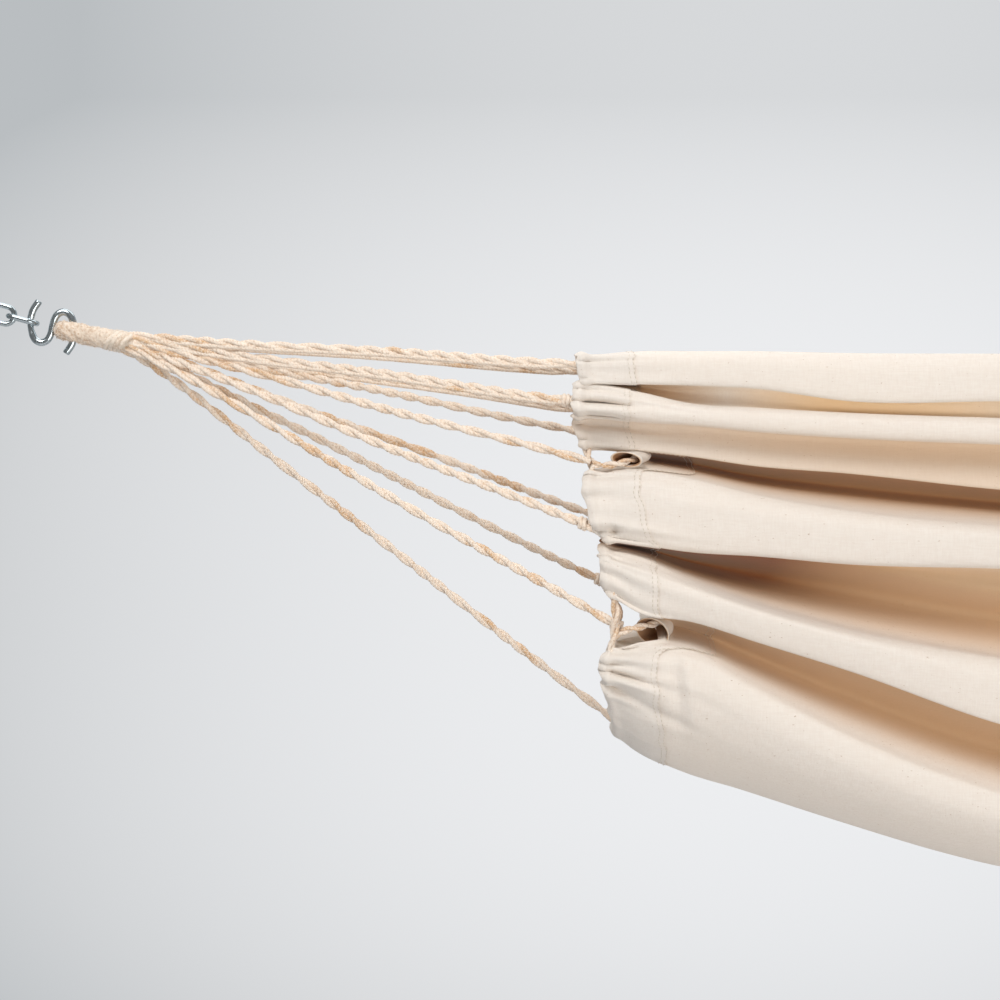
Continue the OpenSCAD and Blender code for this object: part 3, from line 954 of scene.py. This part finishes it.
def s_hook_piece(side, label):
    """The S-hook's bent wire, with its two open loops."""
    points = [(x, 0, z) for x, z in S_HOOK_HALF[::-1]] + [(0, 0, 0)] + [(-x, 0, -z) for x, z in S_HOOK_HALF]
    path = smooth_path((np.array(points, float) + S_HOOK_MIDDLE) * MM, 1.2 * MM)
    ends = np.minimum(along(path), along(path)[::-1]) / (1.4 * MM)
    wire = WIRE_R * np.sqrt(np.clip(1 - (1 - np.minimum(ends + 0.45, 1)) ** 2, 0, 1))
    # Drawn thinner where the chain's last link bears, only so that the two stay clear through the swing
    seat = np.linalg.norm(path - S_HOOK_SEAT * MM, axis=1)
    wire = wire * (1 - 0.17 * np.exp(-((seat / (8 * MM)) ** 4)))
    grid = mirrored(tube(path, ACROSS, wire, 24), side)
    piece = build(label + "_bent_s_hook", [(grid, True, True)], zinc)
    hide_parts(label + "_s_hook")


EYE_SIDES, WHIPPING_SIDES = 40, 44


def eye_piece(side, label):
    """The served loop over the S-hook, and its legs."""
    ring_r = 14.0
    legs = [(60, -8.8), (50, -8.8), (37, -9.0), (24, -11.0), (10, -13.4)]
    arc = [(ring_r * math.cos(a), ring_r * math.sin(a)) for a in np.radians(np.arange(-90, -271, -30))]
    back = [(a, -y) for a, y in legs[::-1]]
    flat = np.array(legs + arc + back)
    path = smooth_path(from_eye(flat[:, 0], flat[:, 1], 0 * flat[:, 0]), 1.6 * MM)
    s = along(path)
    fat = 8.9 * MM * (1 + 0.05 * wavy(len(path), 5))
    u, v = sides_of(path, RISE)
    a = np.linspace(0, 2 * math.pi, EYE_SIDES, endpoint=False)[None, :]
    strands = 1 + 0.055 * np.cos(6 * (a - 2 * math.pi * s[:, None] / 0.075))
    rough = 1 + 0.035 * rng.standard_normal((len(path), EYE_SIDES))
    r = fat[:, None] * strands * rough
    grid = (
        path[:, None]
        + (r * np.cos(a) * 1.14)[..., None] * u[:, None]
        + (r * np.sin(a))[..., None] * v[:, None]
    )
    patches = wavy(len(path), 9)[:, None] * 0.4
    tint = np.clip(patches + 1.5 * rng.random((len(path), EYE_SIDES)) - 0.1, 0, 1)
    tint = tint * (0.25 + 0.75 * bump_at(s, s[-1] / 2, 0.04))[:, None]
    parts = [(mirrored(grid, side), True, True)]
    hairs = fuzz(grid, path, 1500, 1.2, 3.6)
    parts += [(mirrored(h, side), False, False) for h in hairs]
    tints = np.concatenate([tint.ravel(), np.zeros(len(hairs) * 4)])
    piece = build(label + "_served_eye", parts, fluffy_rope, tan=tints)
    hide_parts(label + "_eye")


def whipping_piece(side, label):
    """Turns of yarn that bind the legs together, and the bundle of yarn inside them."""
    parts, tans = [], []
    core = smooth_path(from_eye([20, 34, 48, 62, 74], 0, [0, 0, 0, 0, -1]), 1.6 * MM)
    s = along(core)
    a = np.linspace(0, 2 * math.pi, WHIPPING_SIDES, endpoint=False)[None, :]
    swell = np.interp(s, [0, 0.012, 0.03, 0.045, 0.054], [0.55, 0.93, 1.0, 0.86, 0.55])[:, None]
    lay = 1 + 0.05 * np.cos(9 * (a - 2 * math.pi * s[:, None] / 0.11))
    lay = lay + 0.03 * rng.standard_normal((len(core), WHIPPING_SIDES))
    ring = (
        core[:, None]
        + (11.2 * MM * swell * lay * np.cos(a))[..., None] * RISE
        + (18.6 * MM * swell * lay * np.sin(a))[..., None] * ACROSS
    )
    parts.append((mirrored(ring, side), True, True))
    tans.append(np.clip(0.25 * rng.random((len(core), WHIPPING_SIDES)), 0, 1).ravel())
    turns = 4
    n = turns * 60
    w = np.linspace(0, turns * 2 * math.pi, n)
    at = 40 + 20 * w / w[-1]
    shape = 1 + 0.02 * wavy(n, 14)
    line = from_eye(at + 6 * np.cos(w), 18.2 * shape * np.sin(w), 10.0 * shape * np.cos(w))
    grid = tube(line, AXIS, 2.9 * MM, 12, 0.8, 3, 0.02, 0.08)
    parts.append((mirrored(grid, side), True, True))
    tans.append(np.repeat(yarn_tan(n, 0.05), 12) * 0.5)
    hairs = fuzz(grid, from_eye(at, 0, 0), 900, 1.0, 3.0)
    parts += [(mirrored(h, side), False, False) for h in hairs]
    tans.append(np.zeros(len(hairs) * 4))
    piece = build(label + "_bound_whipping", parts, fluffy_rope, tan=np.concatenate(tans))
    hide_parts(label + "_whipping", label + "_clew")


# The gather rope is inside the cloth along these stretches of the section, and straight between them
IN_HEM = ((1.5, 4.2), (6.2, 9.2), (10.5, 12.0), (15.9, 20.5), (22.5, 26.1), (30.0, LAST))
OPEN_AT = ((978, 15), (812, 30))  # height and half height in mm of each notch
TURNS = {
    "upper": [(-1112, -121, 971), (-1098, -123, 970), (-1080, -121, 973), (-1062, -112, 979)],
    "lower": [(-1090, -121, 792), (-1076, -123, 799), (-1058, -121, 803), (-1040, -110, 806)],
}


def rope_line():
    """The gather rope's line inside the hem and straight across the notches, and where it is in the open."""
    ts = np.concatenate([np.arange(a, b + 0.01, 0.25) for a, b in IN_HEM])[:, None]
    near, far = (cloth(ts, np.full_like(ts, 9.0), wall)[:, 0] for wall in (False, True))
    path = smooth_path(np.concatenate([near, far[-2::-1]]), 1.6 * MM)
    for _ in range(14):
        path[1:-1] = (path[:-2] + 2 * path[1:-1] + path[2:]) / 4
    path = resample(path, 1.6 * MM)
    path[:, 1] -= 0.0015 * np.sign(path[:, 1]) * np.clip(np.abs(path[:, 1]) / 0.05, 0, 1)
    open_at = [np.clip(1.6 * notch(path[:, 2], z * MM, half * MM, 6) - 0.3, 0, 1) for z, half in OPEN_AT]
    in_open = np.clip(sum(open_at), 0, 1)
    path[:, 0] -= 0.008 * in_open * (path[:, 1] > 0)
    return path, in_open


def gather_piece(side, label):
    path, in_open = rope_line()
    parts, tans = [], []
    u, v = sides_of(path, (1, 0, 0))
    s = along(path)
    for k in (0, 1):
        turn = (2 * math.pi * s / (42 * MM) + k * math.pi + 0.7)[:, None]
        size = MM * (1.2 + 1.2 * in_open)
        line = path + size[:, None] * (np.cos(turn) * u + np.sin(turn) * v)
        grid = tube(line, (1, 0, 0), size, 12, 1.0, 3, 0.019, 0.08)
        parts.append((mirrored(grid, side), True, True))
        tans.append(np.repeat(yarn_tan(len(s), 0.34), 12))
    piece = build(label + "_gather_cord", parts, rope, tan=np.concatenate(tans))
    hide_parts(label + "_gather_rope")
    for way, points in TURNS.items():
        line = smooth_path(np.array(points, float) * MM, 1.5 * MM)
        more, tints = strand_parts(line, 0.2, 1.0, 34 * MM, 2.0 * MM, 2.0 * MM)
        more = [(mirrored(g, side), c, cap) for g, c, cap in more]
        build(f"{label}_gather_turn_{way}", more, rope, tan=np.concatenate(tints))
    line = mirrored(path, side)


for side, label in ((-1, "left"), (1, "right")):
    s_hook_piece(side, label)
    eye_piece(side, label)
    whipping_piece(side, label)
    gather_piece(side, label)
    for index in range(len(CORDS)):
        make_cord(side, label, index)

# ---- World, floor and lights ----


def make_world():
    """A studio sweep: bright to the right and low, greyer to the upper left, dim behind the viewer."""
    world = bpy.data.worlds.new("studio")
    bpy.context.scene.world = world
    world.use_nodes = True
    tree = world.node_tree
    back = tree.nodes["Background"]

    def add(kind, **settings):
        n = tree.nodes.new(kind)
        for key, value in settings.items():
            setattr(n, key, value)
        return n

    def calc(how, a, b=0.0):
        n = add("ShaderNodeMath", operation=how)
        for socket, value in zip(n.inputs, (a, b)):
            feed(tree, socket, value)
        return n.outputs[0]

    coord = add("ShaderNodeTexCoord")
    split = add("ShaderNodeSeparateXYZ")
    tree.links.new(coord.outputs["Generated"], split.inputs[0])
    ahead = calc("MAXIMUM", split.outputs[1], 0.05)
    across = calc("DIVIDE", split.outputs[0], ahead)
    up = calc("DIVIDE", split.outputs[2], ahead)
    off = calc("MULTIPLY", calc("SUBTRACT", across, 0.15), 2.53)
    fall = calc("MULTIPLY", calc("POWER", calc("MINIMUM", calc("ABSOLUTE", off), 1.15), 2.0), 0.6)
    high = calc("MULTIPLY", calc("ADD", up, 0.05), 4.76)
    rise = calc("POWER", calc("MINIMUM", calc("ABSOLUTE", high), 1.2), 3.0)
    fall = calc("ADD", fall, calc("MULTIPLY", rise, 0.29))
    ramp = add("ShaderNodeValToRGB")
    ramp.color_ramp.elements[0].color = linear(238, 239, 241)
    ramp.color_ramp.elements[1].color = linear(186, 190, 193)
    middle = ramp.color_ramp.elements.new(0.6)
    middle.color = linear(210, 212, 214)
    tree.links.new(fall, ramp.inputs[0])
    behind = add("ShaderNodeMapRange")
    tree.links.new(split.outputs[1], behind.inputs["Value"])
    behind.inputs["From Min"].default_value = -0.2
    behind.inputs["From Max"].default_value = 0.35
    mix = add("ShaderNodeMix", data_type="RGBA")
    tree.links.new(behind.outputs["Result"], mix.inputs["Factor"])
    mix.inputs[6].default_value = (0.25, 0.245, 0.24, 1)
    tree.links.new(ramp.outputs["Color"], mix.inputs[7])
    tree.links.new(mix.outputs[2], back.inputs["Color"])


def area_light(name, place, target, size, watts, colour=(1, 1, 1)):
    data = bpy.data.lights.new(name, "AREA")
    data.shape = "RECTANGLE"
    data.size, data.size_y = size
    data.energy = watts
    data.color = colour
    light = bpy.data.objects.new(name, data)
    bpy.context.scene.collection.objects.link(light)
    light.location = place
    light.rotation_euler = (Vector(target) - Vector(place)).to_track_quat("-Z", "Y").to_euler()


make_world()
area_light("key", (-2.2, -2.0, 3.1), (-1.1, -0.1, 0.85), (1.7, 1.3), 69)
area_light("fill", (0.1, -2.8, 0.25), (-0.9, -0.1, 0.8), (1.8, 1.0), 38, (1.0, 0.99, 0.975))
area_light("top", (-0.8, 0.5, 3.0), (-0.8, 0.0, 0.9), (2.6, 1.8), 24)

FLOOR_Z = -0.5 * MM
FLOOR_CORNERS = [(-2.8, -1.5), (2.8, -1.5), (2.8, 1.5), (-2.8, 1.5)]
floor_m = Nodes("floor")
floor_m.set(
    Base_Color=floor_m.mix(floor_m.noise(3, 3), linear(222, 222, 223), linear(228, 228, 229)),
    Roughness=0.8,
)
floor_mesh = bpy.data.meshes.new("floor")
floor_mesh.from_pydata([(x, y, FLOOR_Z) for x, y in FLOOR_CORNERS], [], [(0, 1, 2, 3)])
floor_mesh.materials.append(floor_m.material)
floor = bpy.data.objects.new("floor", floor_mesh)
bpy.context.scene.collection.objects.link(floor)
